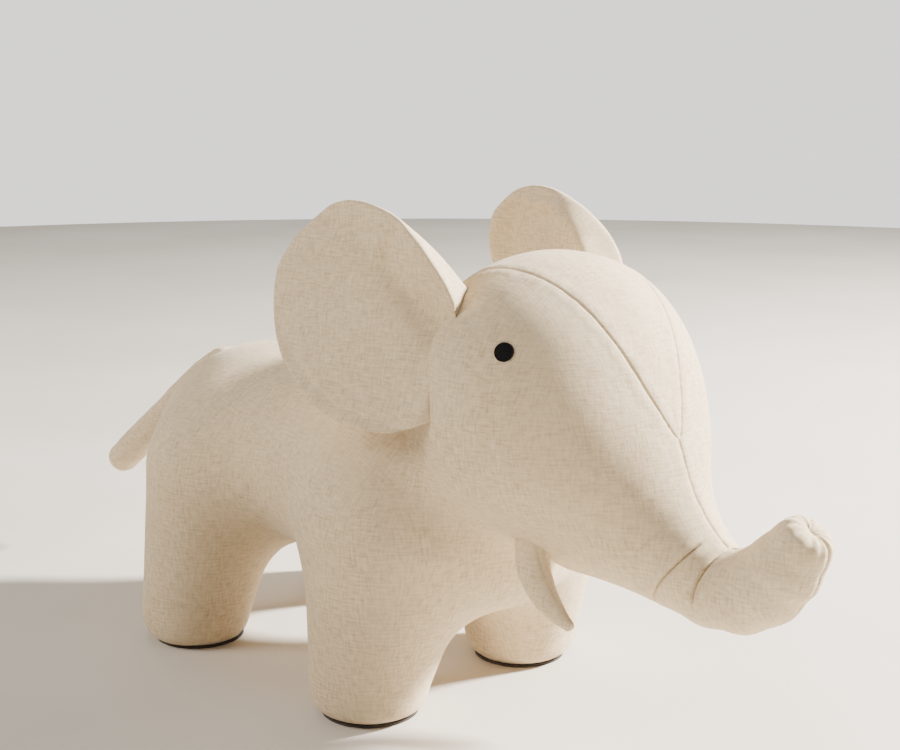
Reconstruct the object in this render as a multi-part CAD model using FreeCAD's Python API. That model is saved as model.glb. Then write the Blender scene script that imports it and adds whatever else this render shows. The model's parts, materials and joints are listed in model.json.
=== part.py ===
"""Standing stuffed elephant: a linen cover sewn from panels over firm fibre filling and a light steel frame.

Millimetres, +X towards the trunk, +Y to the elephant's left, +Z up. The origin is on the floor, at the
middle of the bounding box. Soft pieces are plain closed solids of the right size and place.
"""

import FreeCAD
import Part

import math
import os

from FreeCAD import Matrix, Vector

# Driving dimensions -------------------------------------------------------------------------------
FABRIC = 1.5  # thickness of the cover cloth with its backing
SOLE_THICK = 2.0
BOARD_THICK = 3.0
ROD_R = 3.0  # steel rod of the inner frame
CLEAR = 1.0  # gap between pieces that move against each other

# Legs: the x and half track of a foot, the radius at the top, and how far the leg leans forward
LEGS = {"front": ((75.0, 80.0), 66.0, 14.0), "hind": ((-137.0, 84.0), 59.0, 19.0)}
LEG_TOP_Z = 140.0
LEG_LEAN_IN = 12.0
FOOT_R = 45.3
FOOT_Z = 26.4
SOLE_R = 36.0
BOARD_R = 34.0
BELLY_HALF = 36.0
BELLY_SEAM_Z = 120.0

# Torso: three overlapping ellipsoids, (centre x, centre z), (half length, half width, half height)
TORSO = ((-57.0, 160.0), (156.0, 106.0, 79.0))
RUMP = ((-152.0, 152.0), (93.0, 94.0, 78.0))
CHEST = ((64.0, 156.0), (104.0, 108.0, 88.0))
BREAST = ((118.0, 121.0), (56.0, 78.0, 50.0))

# Head: a ball, a muzzle and the cone that leads into the trunk
BALL = ((180.0, 249.0), (97.0, 107.0, 93.0))
MUZZLE = ((200.0, 208.0), (84.0, 88.0, 62.0))
TRUNK_ROOT = ((242.0, 180.0), 54.0)
TRUNK_BEND = ((324.0, 139.0), 26.5)  # centre of the bend, at the second tuck
TRUNK_REST = (((346.0, 138.0), 25.5), ((368.0, 149.0), 24.0), ((382.0, 170.0), 20.5), ((388.0, 184.0), 16.5))
TIP_PATCH_THICK = 1.5

# Forehead gusset: a wedge seen from above, from the back of the head to its point on the brow
GUSSET_BACK_X = 95.0
GUSSET_BACK_HALF = 46.0
GUSSET_POINT_X = 290.0
GUSSET_LOW_Z = 222.0

EYE = (217.0, -90.0, 288.5)
EYE_R = 6.8
EYE_PROUD = 1.3
EYE_SUNK = 3.0

# Right ear: a flat round pillow, hinged along the line where it is sewn to the side of the head
EAR_ROOT_LOW = Vector(171.0, -117.0, 238.0)
EAR_ROOT_HIGH = Vector(171.0, -99.0, 302.0)
EAR_BACKWARD = Vector(-0.97, -0.24, 0.0)
EAR_RADII = (78.0, 76.0, 10.0)  # away from the root, along the root, half thickness
EAR_CENTRE_OUT = 74.0
EAR_CENTRE_UP = 57.0  # from the low end of the root
EAR_GAP = 4.0

# Tusk: centreline points and radii, right side
TUSK = (
    (Vector(214.0, -62.0, 147.0), 14.0),
    (Vector(224.0, -67.0, 132.0), 12.0),
    (Vector(243.0, -73.0, 119.0), 8.5),
    (Vector(267.0, -77.0, 116.0), 3.0),
)
TUSK_CLOTH = 1.0

# Tail: a flat tab sewn to the top of the rump, then a stuffed tube
TAIL_START = Vector(-207.0, 0.0, 225.5)
TAIL_END = Vector(-391.5, 0.0, 90.0)
TAIL_TAB = (16.0, 20.0, 7.0)  # length, width, thickness
TAB_ROUNDING = 0.4
TAIL_TUBE = ((23.0, 6.0), (60.0, 10.5), (150.0, 14.5), (222.3, 15.0))  # distance along, radius

# Frame
SPINE_Z = 158.0
ARCH_Z = SPINE_Z - 2 * ROD_R + 0.5
SPINE_BACK_X = -150.0
NECK_X = 108.0
STEM_TOP = (176.0, 236.0)
FRONT_ARCH_X = 84.0
REAR_ARCH_X = -124.0
ARCH_SHOULDER_Y = 62.0
ARCH_SHOULDER_Z = 128.0

BIG = 1000.0


# Shape helpers ------------------------------------------------------------------------------------
# Everything is modelled on the elephant's right, where Y is below zero, and mirrored to its left.
def fused(shapes):
    whole = shapes[0].multiFuse(shapes[1:])
    return whole.removeSplitter()


def mirrored(shape):
    """The same piece on the elephant's other side."""
    return shape.mirror(Vector(0, 0, 0), Vector(0, 1, 0))


def whole(half):
    """A piece that runs across the middle, from its right half."""
    return fused([half, mirrored(half)])


def both_sides(name, half):
    return {name + "_right": half, name + "_left": mirrored(half)}


def half_ellipsoid(centre, radii):
    """The half on the side where Y is below zero."""
    half_ball = Part.makeSphere(1.0, Vector(), Vector(0, 0, 1), -90, 90, 180)
    half_ball.rotate(Vector(), Vector(0, 0, 1), 180)
    squeeze = Matrix()
    squeeze.scale(*radii)
    solid = half_ball.transformGeometry(squeeze)
    solid.translate(centre)
    return solid


def round_cone(start, start_r, end, end_r, angle=360):
    """A ball at each end and the cone tangent to both, turned as one profile about its axis."""
    axis = end - start
    length = axis.Length
    axis.normalize()
    across = Vector(0, 1, 0).cross(axis)
    across.normalize()
    sine = (start_r - end_r) / length
    cosine = math.sqrt(1 - sine * sine)
    lean = math.asin(sine)

    def on_ball(centre, radius, turn):
        return centre + across * (radius * math.cos(turn)) + axis * (radius * math.sin(turn))

    low, high = on_ball(start, start_r, -math.pi / 2), on_ball(end, end_r, math.pi / 2)
    low_mid, high_mid = (lean - math.pi / 2) / 2, (lean + math.pi / 2) / 2
    low_touch = start + across * (start_r * cosine) + axis * (start_r * sine)
    high_touch = end + across * (end_r * cosine) + axis * (end_r * sine)
    outline = Part.Wire(
        [
            Part.Arc(low, on_ball(start, start_r, low_mid), low_touch).toShape(),
            Part.makeLine(low_touch, high_touch),
            Part.Arc(high_touch, on_ball(end, end_r, high_mid), high).toShape(),
            Part.makeLine(high, low),
        ]
    )
    solid = Part.Face(outline).revolve(start, axis, angle)
    return solid if solid.Volume > 0 else solid.reversed()


def horn(stations, shrink=0.0, angle=360):
    """A chain of round cones through (point, radius) stations."""
    links = [
        round_cone(a, a_r - shrink, b, b_r - shrink, angle)
        for (a, a_r), (b, b_r) in zip(stations, stations[1:])
    ]
    return links[0] if len(links) == 1 else fused(links)


def turned(stations, start, axis):
    """A straight tube with two ball ends, from (distance along, radius) stations."""
    across = Vector(0, 1, 0)
    slope = math.sqrt(0.5)
    edge = [start + axis * s + across * r for s, r in stations]
    (first, first_r), (last, last_r) = stations[0], stations[-1]
    tips = start + axis * (first - first_r), start + axis * (last + last_r)
    bends = [
        start + axis * (first - first_r * slope) + across * (first_r * slope),
        start + axis * (last + last_r * slope) + across * (last_r * slope),
    ]
    arcs = Part.Arc(tips[0], bends[0], edge[0]), Part.Arc(edge[-1], bends[1], tips[1])
    sides = [Part.makeLine(a, b) for a, b in zip(edge, edge[1:])]
    outline = Part.Wire([arcs[0].toShape()] + sides + [arcs[1].toShape(), Part.makeLine(tips[1], tips[0])])
    solid = Part.Face(outline).revolve(start, axis, 360)
    return solid if solid.Volume > 0 else solid.reversed()


def rod(points, radius):
    """A bent rod: straight runs with a ball at each bend."""
    pieces = [Part.makeCylinder(radius, (b - a).Length, a, b - a) for a, b in zip(points, points[1:])]
    pieces += [Part.makeSphere(radius, bend) for bend in points[1:-1]]
    return fused(pieces)


def box(x0, x1, y0, y1, z0, z1):
    return Part.makeBox(x1 - x0, y1 - y0, z1 - z0, Vector(x0, y0, z0))


def right_half(shape):
    return shape.common(box(-BIG, BIG, -BIG, 0, -BIG, BIG))


# Torso and legs, right half -----------------------------------------------------------------------
def leg(end, shrink):
    (x, half_track), top_r, lean_x = LEGS[end]
    low = Vector(x, -half_track, FOOT_Z)
    high = Vector(x + lean_x, LEG_LEAN_IN - half_track, LEG_TOP_Z)
    return round_cone(low, FOOT_R - shrink, high, top_r - shrink)


def blobs(sizes, shrink):
    return [
        half_ellipsoid(Vector(centre[0], 0, centre[1]), [r - shrink for r in radii])
        for centre, radii in sizes
    ]


def torso_form(shrink):
    return blobs((TORSO, RUMP, CHEST, BREAST), shrink)


def body_form(shrink):
    return fused(torso_form(shrink) + [leg(end, shrink) for end in LEGS])


def head_form(shrink):
    (root_x, root_z), root_r = TRUNK_ROOT
    (bend_x, bend_z), bend_r = TRUNK_BEND
    trunk_cone = round_cone(
        Vector(root_x, 0, root_z), root_r - shrink, Vector(bend_x, 0, bend_z), bend_r - shrink
    )
    return fused(blobs((BALL, MUZZLE), shrink) + [right_half(trunk_cone)])


def trunk_form(shrink):
    stations = [(Vector(x, 0, z), r) for (x, z), r in (TRUNK_BEND,) + TRUNK_REST]
    return right_half(horn(stations, shrink))


# Inner frame --------------------------------------------------------------------------------------
def leg_arch(end, arch_x):
    """One bent rod from a foot board up the leg, across the torso and down the other leg."""
    (x, half_track), _, _ = LEGS[end]
    half = [
        Vector(x, half_track, SOLE_THICK + BOARD_THICK),
        Vector((x + arch_x) / 2, (half_track + ARCH_SHOULDER_Y) / 2, ARCH_SHOULDER_Z / 2),
        Vector(arch_x, ARCH_SHOULDER_Y, ARCH_SHOULDER_Z),
        Vector(arch_x, ARCH_SHOULDER_Y / 2, ARCH_Z),
    ]
    other = [Vector(p.x, -p.y, p.z) for p in reversed(half)]
    return rod(half + other, ROD_R)


def frame():
    spine_ends = [Vector(SPINE_BACK_X, 0, SPINE_Z), Vector(NECK_X, 0, SPINE_Z)]
    return {
        "frame_spine": rod(spine_ends + [Vector(STEM_TOP[0], 0, STEM_TOP[1])], ROD_R),
        "frame_front_arch": leg_arch("front", FRONT_ARCH_X),
        "frame_rear_arch": leg_arch("hind", REAR_ARCH_X),
    }


# Pieces -------------------------------------------------------------------------------------------
def feet():
    """A dark sole and a stiff board under each leg."""
    made = {}
    for end, ((x, half_track), _, _) in LEGS.items():
        sole = Part.makeCylinder(SOLE_R, SOLE_THICK, Vector(x, -half_track, 0))
        board = Part.makeCylinder(BOARD_R, BOARD_THICK, Vector(x, -half_track, SOLE_THICK))
        made.update(both_sides("sole_" + end, sole))
        made.update(both_sides("foot_board_" + end, board))
    return made


def torso_pieces(head_outer, head_inner, rods):
    outer, inner = body_form(0), body_form(FABRIC)
    board_top = SOLE_THICK + BOARD_THICK
    cloth = outer.cut(inner).common(box(-BIG, BIG, -BIG, 0, SOLE_THICK, BIG)).cut(head_outer)
    under = box(-BIG, BIG, -BELLY_HALF, 0, -BIG, BELLY_SEAM_Z)
    made = {"belly_gusset": whole(cloth.common(under))}
    made.update(both_sides("body_side", cloth.cut(under)))
    above_board = box(-BIG, BIG, -BIG, 0, board_top, BIG)
    torso = fused(torso_form(FABRIC)).cut(head_inner)
    for end in LEGS:
        fill = leg(end, FABRIC).common(above_board).cut(head_inner)
        torso = torso.cut(fill)
        made.update(both_sides("leg_filling_" + end, fill.cut(rods)))
    made["torso_filling"] = whole(torso.cut(rods))
    return made, inner


def head_pieces(head_outer, head_inner, body_inner, rods, socket):
    cloth = head_outer.cut(head_inner).cut(body_inner).cut(socket)
    wedge_corners = [
        Vector(0, 0, GUSSET_LOW_Z),
        Vector(0, -GUSSET_BACK_HALF, GUSSET_LOW_Z),
        Vector(GUSSET_BACK_X, -GUSSET_BACK_HALF, GUSSET_LOW_Z),
        Vector(GUSSET_POINT_X, 0, GUSSET_LOW_Z),
    ]
    wedge = Part.Face(Part.makePolygon(wedge_corners + wedge_corners[:1])).extrude(Vector(0, 0, BIG))
    made = {"forehead_gusset": whole(cloth.common(wedge))}
    made.update(both_sides("head_side", cloth.cut(wedge)))
    made["head_filling"] = whole(head_inner.cut(rods).cut(socket))
    return made


def eye(head_outer):
    """A low pad of satin stitches on the side of the head."""
    (centre_x, centre_z), radii = BALL
    off = Vector(EYE[0] - centre_x, EYE[1], EYE[2] - centre_z)
    depth = math.sqrt(sum((part / radius) ** 2 for part, radius in zip(off, radii)))
    on_ball = Vector(centre_x, 0, centre_z) + off / depth
    normal = Vector(*[part / radius ** 2 for part, radius in zip(off, radii)])
    normal.normalize()
    blank = Part.makeCylinder(EYE_R, EYE_PROUD + EYE_SUNK, on_ball - normal * EYE_SUNK, normal)
    return blank.cut(head_outer)


def trunk_pieces():
    outer, inner = trunk_form(0), trunk_form(FABRIC)
    (end_x, end_z), end_r = TRUNK_REST[-1]
    (before_x, before_z), _ = TRUNK_REST[-2]
    along = Vector(end_x - before_x, 0, end_z - before_z)
    along.normalize()
    end = Vector(end_x, 0, end_z)
    beyond = Part.makeCylinder(4 * end_r, 4 * end_r, end, along)
    made = both_sides("trunk", outer.cut(inner).cut(beyond))
    made["trunk_filling"] = whole(inner.cut(beyond))
    made["trunk_tip_patch"] = Part.makeCylinder(end_r - FABRIC / 2, TIP_PATCH_THICK, end, along)
    return made


def ear_pieces():
    """Front and back panels of the right ear round its padding, cut off along the sewn root."""
    root = EAR_ROOT_HIGH - EAR_ROOT_LOW
    root.normalize()
    out = EAR_BACKWARD - root * EAR_BACKWARD.dot(root)
    out.normalize()
    face = out.cross(root)
    middle = EAR_ROOT_LOW + root * EAR_CENTRE_UP + out * EAR_CENTRE_OUT
    rows = [(out[i], root[i], face[i], middle[i]) for i in range(3)]
    place = Matrix(*[value for row in rows for value in row], 0, 0, 0, 1)
    front_half = half_ellipsoid(Vector(), (EAR_RADII[0], EAR_RADII[2], EAR_RADII[1]))
    core_radii = (EAR_RADII[0] - FABRIC, EAR_RADII[2] - FABRIC, EAR_RADII[1] - FABRIC)
    core_half = half_ellipsoid(Vector(), core_radii)
    kept = box(EAR_GAP - EAR_CENTRE_OUT, BIG, -BIG, BIG, -BIG, BIG)
    front = front_half.cut(core_half).common(kept)
    made = {
        "ear_front": front,
        "ear_back": mirrored(front),
        "ear_padding": whole(core_half).common(kept),
    }
    for piece in made.values():
        piece.rotate(Vector(), Vector(1, 0, 0), 90)
        piece.transformShape(place)
    return made


def tusk_pieces(keep_out):
    outer = horn(TUSK).cut(keep_out)
    inner = horn(TUSK, TUSK_CLOTH).cut(keep_out)
    return {"tusk_cover": outer.cut(inner), "tusk_filling": inner}


def tail_pieces():
    run = TAIL_END - TAIL_START
    run.normalize()
    across = Vector(0, 1, 0)
    up = run.cross(across)
    length, width, thick = TAIL_TAB
    corner = TAIL_START - across * (width / 2) - up * (thick / 2)
    rows = [(run[i], across[i], up[i], corner[i]) for i in range(3)]
    tab = Part.makeBox(length, width, thick)
    tab = tab.makeFillet(thick * TAB_ROUNDING, tab.Edges)
    tab.transformShape(Matrix(*[value for row in rows for value in row], 0, 0, 0, 1))
    tube = turned(TAIL_TUBE, TAIL_START, run)
    core = turned([(s, r - FABRIC) for s, r in TAIL_TUBE], TAIL_START, run)
    return {"tail_tab": tab, "tail_cover": tube.cut(core), "tail_filling": core}


def build():
    head_outer, head_inner = head_form(0), head_form(FABRIC)
    (bend_x, bend_z), bend_r = TRUNK_BEND
    ball_room = Part.makeSphere(bend_r + CLEAR, Vector(bend_x, 0, bend_z))
    socket = fused([ball_room, box(bend_x, BIG, -BIG, BIG, -BIG, BIG)])
    pieces = frame()
    rods = fused(list(pieces.values()))
    pieces.update(feet())
    torso, body_inner = torso_pieces(head_outer, head_inner, rods)
    pieces.update(torso)
    pieces.update(head_pieces(head_outer, head_inner, body_inner, rods, socket))
    pieces.update(both_sides("eye", eye(head_outer)))
    pieces.update(trunk_pieces())
    for name, piece in {**ear_pieces(), **tusk_pieces(head_form(-CLEAR))}.items():
        pieces.update(both_sides(name, piece))
    pieces.update(tail_pieces())
    return pieces


def main():
    os.makedirs("parts", exist_ok=True)
    for name, piece in sorted(build().items()):
        piece.exportStep(f"parts/{name}.step")
        print(f"{name:26s} solids {len(piece.Solids)} valid {piece.isValid()} {piece.Volume / 1000:9.2f} cm3")


main()
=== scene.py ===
"""Looks of the standing stuffed elephant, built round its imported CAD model.

Metres, in the CAD frame: X runs to the trunk, Y to the elephant's left, Z up, the floor at Z = 0.
"""

import json
import math

import bmesh
import bpy
import numpy as np
from mathutils import Matrix, Vector, noise


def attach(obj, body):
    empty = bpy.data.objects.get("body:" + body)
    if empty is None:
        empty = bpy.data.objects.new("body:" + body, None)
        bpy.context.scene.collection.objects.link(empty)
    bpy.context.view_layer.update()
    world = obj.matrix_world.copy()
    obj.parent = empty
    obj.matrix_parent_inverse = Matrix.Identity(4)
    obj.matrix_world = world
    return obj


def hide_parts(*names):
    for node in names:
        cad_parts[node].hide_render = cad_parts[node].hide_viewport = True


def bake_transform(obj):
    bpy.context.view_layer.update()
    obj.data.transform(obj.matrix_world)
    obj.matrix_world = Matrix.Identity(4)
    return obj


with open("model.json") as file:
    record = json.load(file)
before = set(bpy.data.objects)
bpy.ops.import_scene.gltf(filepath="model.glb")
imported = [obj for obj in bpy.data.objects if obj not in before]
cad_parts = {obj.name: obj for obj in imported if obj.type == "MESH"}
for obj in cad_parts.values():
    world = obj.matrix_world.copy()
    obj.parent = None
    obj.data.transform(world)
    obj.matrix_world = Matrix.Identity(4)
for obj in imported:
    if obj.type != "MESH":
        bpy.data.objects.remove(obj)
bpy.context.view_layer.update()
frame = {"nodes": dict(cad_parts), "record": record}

MM = 0.001


# Implicit shape of the stuffed cover ---------------------------------------------------------------
# Distances are negative inside. The shape is the same on both sides of Y = 0.
# Blobs are ((x, z) of the middle, radii); legs are (low point, radius, high point, radius).
TORSO = ((-0.0567, 0.1626), (0.150, 0.102, 0.076))
RUMP = ((-0.1513, 0.1509), (0.091, 0.0875, 0.0743))
CHEST = ((0.0613, 0.1543), (0.100, 0.105, 0.087))
BREAST = ((0.1200, 0.1220), (0.055, 0.075, 0.050))
TORSO_MERGE = 0.050
BREAST_MERGE = 0.020
FRONT_LEG = ((0.0755, 0.0803, 0.0264), 0.0453, (0.0893, 0.068, 0.140), 0.0673)
HIND_LEG = ((-0.1373, 0.0862, 0.0264), 0.0450, (-0.1172, 0.074, 0.140), 0.0583)
LEG_MERGE = 0.035
SOLE_TOP = 0.0018
FOOT_EDGE = 0.008

BALL = ((0.1815, 0.2535), (0.0910, 0.1040, 0.0892))
MUZZLE = ((0.2000, 0.2070), (0.0760, 0.0850, 0.0500))
HEAD_MERGE = 0.060
TRUNK_ROOT = ((0.2450, 0.1752), 0.0500)
TRUNK = (
    ((0.3222, 0.1386), 0.0268), ((0.3440, 0.1400), 0.0262), ((0.3610, 0.1492), 0.0254),
    ((0.3745, 0.1640), 0.0232), ((0.3845, 0.1790), 0.0190), ((0.3895, 0.1870), 0.0158),
)
TRUNK_ROOT_MERGE = 0.050
TRUNK_MERGE = 0.003
TRUNK_END_EDGE = 0.006
TRUNK_END_PAST = 0.005  # how far the flat end lies beyond the last station
NECK_MERGE = 0.032


def smooth_min(a, b, width):
    mix = np.clip(0.5 + 0.5 * (b - a) / width, 0, 1)
    return b + (a - b) * mix - width * mix * (1 - mix)


def ellipsoid(p, middle, radii):
    q = p - np.array((middle[0], 0, middle[1]))
    r = np.array(radii)
    scaled = np.linalg.norm(q / r, axis=-1)
    return scaled * (scaled - 1) / np.maximum(np.linalg.norm(q / r**2, axis=-1), 1e-9)


def cone(p, a, a_radius, b, b_radius):
    a, b = np.array(a), np.array(b)
    run = b - a
    t = np.clip(((p - a) @ run) / (run @ run), 0, 1)
    return np.linalg.norm(p - a - t[..., None] * run, axis=-1) - (a_radius + (b_radius - a_radius) * t)


def body_field(p):
    q = p.copy()
    q[..., 1] = np.abs(q[..., 1])
    d = smooth_min(ellipsoid(q, *TORSO), ellipsoid(q, *RUMP), TORSO_MERGE)
    d = smooth_min(d, ellipsoid(q, *CHEST), TORSO_MERGE)
    d = smooth_min(d, ellipsoid(q, *BREAST), BREAST_MERGE)
    for low, low_radius, high, high_radius in (FRONT_LEG, HIND_LEG):
        d = smooth_min(d, cone(q, low, low_radius, high, high_radius), LEG_MERGE)
    return -smooth_min(-d, p[..., 2] - SOLE_TOP, FOOT_EDGE)


def head_field(p):
    stations = [((x, 0, z), r) for (x, z), r in (TRUNK_ROOT,) + TRUNK]
    trunk = cone(p, *stations[0], *stations[1])
    for near, far in zip(stations[1:], stations[2:]):
        trunk = smooth_min(trunk, cone(p, *near, *far), TRUNK_MERGE)
    end, along = trunk_end()
    trunk = -smooth_min(-trunk, -((p - end) @ along), TRUNK_END_EDGE)
    d = smooth_min(ellipsoid(p, *BALL), ellipsoid(p, *MUZZLE), HEAD_MERGE)
    return smooth_min(d, trunk, TRUNK_ROOT_MERGE)


def trunk_end():
    """The middle of the trunk's flat end and the direction it faces."""
    (x, z), _ = TRUNK[-1]
    (before_x, before_z), _ = TRUNK[-2]
    along = np.array((x - before_x, 0, z - before_z))
    along /= np.linalg.norm(along)
    return np.array((x, 0, z)) + along * TRUNK_END_PAST, along


def skin_field(p):
    return smooth_min(body_field(p), head_field(p), NECK_MERGE)


# Cover mesh ----------------------------------------------------------------------------------------
CELL = 2.4 * MM
FINE_CELL = CELL / 2 ** 2
CLOTH = 1.2 * MM
FINE_BANDS = (6 * MM, 3.2 * MM)  # the mesh is twice as fine within each of these of a seam
SEAM_MARGIN = 4 * MM  # and this far past its ends
GRID_LOW = np.array((-0.258, -0.145, -0.006))
GRID_HIGH = np.array((0.416, 0.145, 0.352))
CORNERS = np.array([[i, j, k] for i in (0, 1) for j in (0, 1) for k in (0, 1)])


def sample_grid(field, low, high, cell):
    counts = np.ceil((high - low) / cell).astype(int) + 1
    xs, ys, zs = [low[i] + cell * np.arange(counts[i]) for i in range(3)]
    values = np.empty(counts)
    for i, x in enumerate(xs):
        y, z = np.meshgrid(ys, zs, indexing="ij")
        values[i] = field(np.stack([np.full_like(y, x), y, z], -1))
    return values


def surface_nets(values, low, cell):
    """Points and quads of the zero surface of a sampled field."""
    inside = values < 0
    cells = np.array(values.shape) - 1
    count = np.zeros(cells, int)
    for i, j, k in CORNERS:
        count += inside[i : i + cells[0], j : j + cells[1], k : k + cells[2]]
    active = (count > 0) & (count < 8)
    number = -np.ones(cells, int)
    ids = np.argwhere(active)
    number[active] = np.arange(len(ids))
    total, crossings = np.zeros((len(ids), 3)), np.zeros(len(ids))
    for corner in CORNERS:
        for axis in np.flatnonzero(corner == 0):
            step = np.eye(3, dtype=int)[axis]
            near, far = values[tuple((ids + corner).T)], values[tuple((ids + corner + step).T)]
            cross = (near < 0) != (far < 0)
            t = near[cross] / (near[cross] - far[cross])
            total[cross] += ids[cross] + corner + t[:, None] * step
            crossings[cross] += 1
    quads = []
    for axis in range(3):
        u, v = np.eye(3, dtype=int)[(axis + 1) % 3], np.eye(3, dtype=int)[(axis + 2) % 3]
        here = inside.take(range(cells[axis]), axis)
        ahead = inside.take(range(1, cells[axis] + 1), axis)
        edge = np.argwhere(here != ahead)
        edge = edge[((edge @ u > 0) & (edge @ v > 0) & (edge @ u < cells @ u) & (edge @ v < cells @ v))]
        quad = np.stack([number[tuple((edge - back).T)] for back in (u + v, v, 0 * u, u)], 1)
        outward = here[tuple(edge.T)]
        quad[~outward] = quad[~outward][:, ::-1]
        quads.append(quad)
    return low + cell * total / crossings[:, None], np.concatenate(quads)


def gradient(field, p, reach=0.3 * MM):
    rows = [field(p + reach * axis) - field(p - reach * axis) for axis in np.eye(3)]
    return np.stack(rows, -1) / (2 * reach)


def unit(v):
    return v / np.maximum(np.linalg.norm(v, axis=-1, keepdims=True), 1e-12)


def onto(field, p, rounds=3):
    """Points moved onto the zero surface of a field."""
    for _ in range(rounds):
        g = gradient(field, p)
        p = p - field(p)[:, None] * g / np.maximum((g * g).sum(-1, keepdims=True), 1e-3)
    return p


# Seams and panels ----------------------------------------------------------------------------------
GUSSET_HALF = 0.046
GUSSET_CROWN_Z = 0.339
GUSSET_POINT_Z = 0.229
GUSSET_CURVE = 0.8
BELLY_HALF = 0.036
BELLY_MIDDLE_X = -0.040
BELLY_REACH = 0.150
BELLY_TOP_Z = 0.125
SLIT = 1 * MM  # a gusset narrower than this to each side counts as closed


def neck_seam(p):
    return head_field(p) - body_field(p)


def gusset_half(z):
    """Half width of the forehead gusset, widest at the crown and curving in to its point."""
    share = np.clip((z - GUSSET_POINT_Z) / (GUSSET_CROWN_Z - GUSSET_POINT_Z), 0, 1)
    return GUSSET_HALF * share**GUSSET_CURVE


def gusset_seam(p):
    return np.abs(p[..., 1]) - gusset_half(p[..., 2])


def belly_half(x):
    """Half width of the belly gusset, even between the legs and closing at both ends."""
    return BELLY_HALF * np.clip(1 - ((x - BELLY_MIDDLE_X) / BELLY_REACH) ** 4, 0, 1) ** 0.5


def belly_seam(p):
    return np.abs(p[..., 1]) - belly_half(p[..., 0])


def on_head(p):
    return -neck_seam(p)


def on_gusset_part(p):
    return np.minimum(on_head(p), p[..., 2] - GUSSET_POINT_Z)


def on_belly_part(p):
    return np.minimum(-on_head(p), BELLY_TOP_Z - p[..., 2])


def on_middle(p):
    gusset = np.where((on_gusset_part(p) > 0) & (gusset_half(p[..., 2]) > SLIT), -1.0, 1.0)
    belly = np.where((on_belly_part(p) > 0) & (belly_half(p[..., 0]) > SLIT), -1.0, 1.0)
    return np.minimum(gusset, belly)


# (function that is zero on the seam, function that is above zero where it is sewn, strength)
SEAMS = (
    (neck_seam, lambda p: np.ones(len(p)), 0.4),
    (gusset_seam, on_gusset_part, 1.0),
    (belly_seam, on_belly_part, 1.0),
    (lambda p: p[..., 1], on_middle, 1.0),
)
PANELS = ("body_right", "body_left", "belly_gusset", "head_right", "head_left", "forehead_gusset")
BODY_RIGHT, BODY_LEFT, BELLY_GUSSET, HEAD_RIGHT, HEAD_LEFT, FOREHEAD_GUSSET = range(len(PANELS))


def panel_of(p):
    """The number in PANELS of the panel that each point is in."""
    left = p[..., 1] > 0
    on_body = np.where(left, BODY_LEFT, BODY_RIGHT)
    panel = np.where(on_head(p) > 0, np.where(left, HEAD_LEFT, HEAD_RIGHT), on_body)
    panel = np.where((on_gusset_part(p) > 0) & (gusset_seam(p) < 0), FOREHEAD_GUSSET, panel)
    return np.where((on_belly_part(p) > 0) & (belly_seam(p) < 0), BELLY_GUSSET, panel)


def seam_distance(p, seam, normals):
    """Distance along the cloth to a seam, and the direction that leads away from it."""
    g = gradient(seam, p)
    g = g - (g * normals).sum(-1, keepdims=True) * normals
    length = np.maximum(np.linalg.norm(g, axis=-1), 1e-3)
    return seam(p) / length, g / length[:, None]


def fractal(p, wavelength, octaves=3, shift=0.0):
    """Smooth random heights, about -1 to 1."""
    offset = Vector((shift, 2 * shift, -shift))
    return np.array([noise.fractal(Vector(q) / wavelength + offset, 0.9, 2.0, octaves) for q in p])


# Relief of the cloth --------------------------------------------------------------------------------
GROOVE = 0.9 * MM
GROOVE_WIDTH = 0.9 * MM
SEAM_SWELL = 0.35 * MM
SEAM_SWELL_PLACE = 5 * MM
SEAM_SWELL_WIDTH = 4 * MM
SEAM_FADE = 3 * MM
PUCKER = 0.35 * MM
PUCKER_PITCH = 7.0 * MM
PUCKER_REACH = 9.0 * MM
LUMPS = 0.54 * MM
LUMP_PITCH = 0.055

# Tucks sewn across the trunk: where each starts at the top and ends at the bottom (x, z), and its depth
TUCKS = (
    ((0.3010, 0.1790), (0.2850, 0.1560), 0.5 * MM),
    ((0.3204, 0.1690), (0.2909, 0.1261), 2.0 * MM),
    ((0.3325, 0.1710), (0.3240, 0.1330), 2.2 * MM),
)
TUCK_WIDTH = 0.9 * MM
TUCK_WANDER = 0.45 * MM
TUCK_WAVES = 7
TUCK_ROLL = 0.7 * MM
TUCK_ROLL_PLACE = 3.6 * MM
TUCK_ROLL_WIDTH = 2.6 * MM
TUCK_FADE = 0.14
TUCK_TOP_EASE = 0.2  # the tucks fade to nothing on the trunk's middle line
TUCK_FULL_AT = 0.02
TIP_GATHERS = 11
TIP_REACH = 0.012
TIP_BACK_X = 0.34
TIP_FOLD = 0.45 * MM
TIP_DRAWN_IN = 1.2 * MM


def tuck_lines(p):
    """For each tuck, the distance to it, how strongly it is drawn in there, and its depth."""
    for (top_x, top_z), (bottom_x, bottom_z), depth in TUCKS:
        run = np.array((bottom_x - top_x, bottom_z - top_z))
        length = np.linalg.norm(run)
        run /= length
        q = p[:, [0, 2]] - np.array((top_x, top_z))
        t = (q @ run) / length
        away = q @ np.array((run[1], -run[0])) + TUCK_WANDER * np.sin(t * TUCK_WAVES)
        drawn = np.clip(t / TUCK_FADE + 0.5, 0, 1) * np.clip((1 - t) / TUCK_FADE + 0.5, 0, 1)
        yield away, drawn * np.abs(p[:, 1]) ** TUCK_TOP_EASE / TUCK_FULL_AT**TUCK_TOP_EASE, depth


def tuck_height(p):
    """Thin creases with a soft roll of cloth beside each."""
    height = np.zeros(len(p))
    for away, drawn, depth in tuck_lines(p):
        roll = np.exp(-(((np.abs(away) - TUCK_ROLL_PLACE) / TUCK_ROLL_WIDTH) ** 2))
        crease = depth * np.exp(-((away / TUCK_WIDTH) ** 2))
        height += drawn * (TUCK_ROLL * roll * depth / (2 * MM) - crease)
    return height


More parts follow.
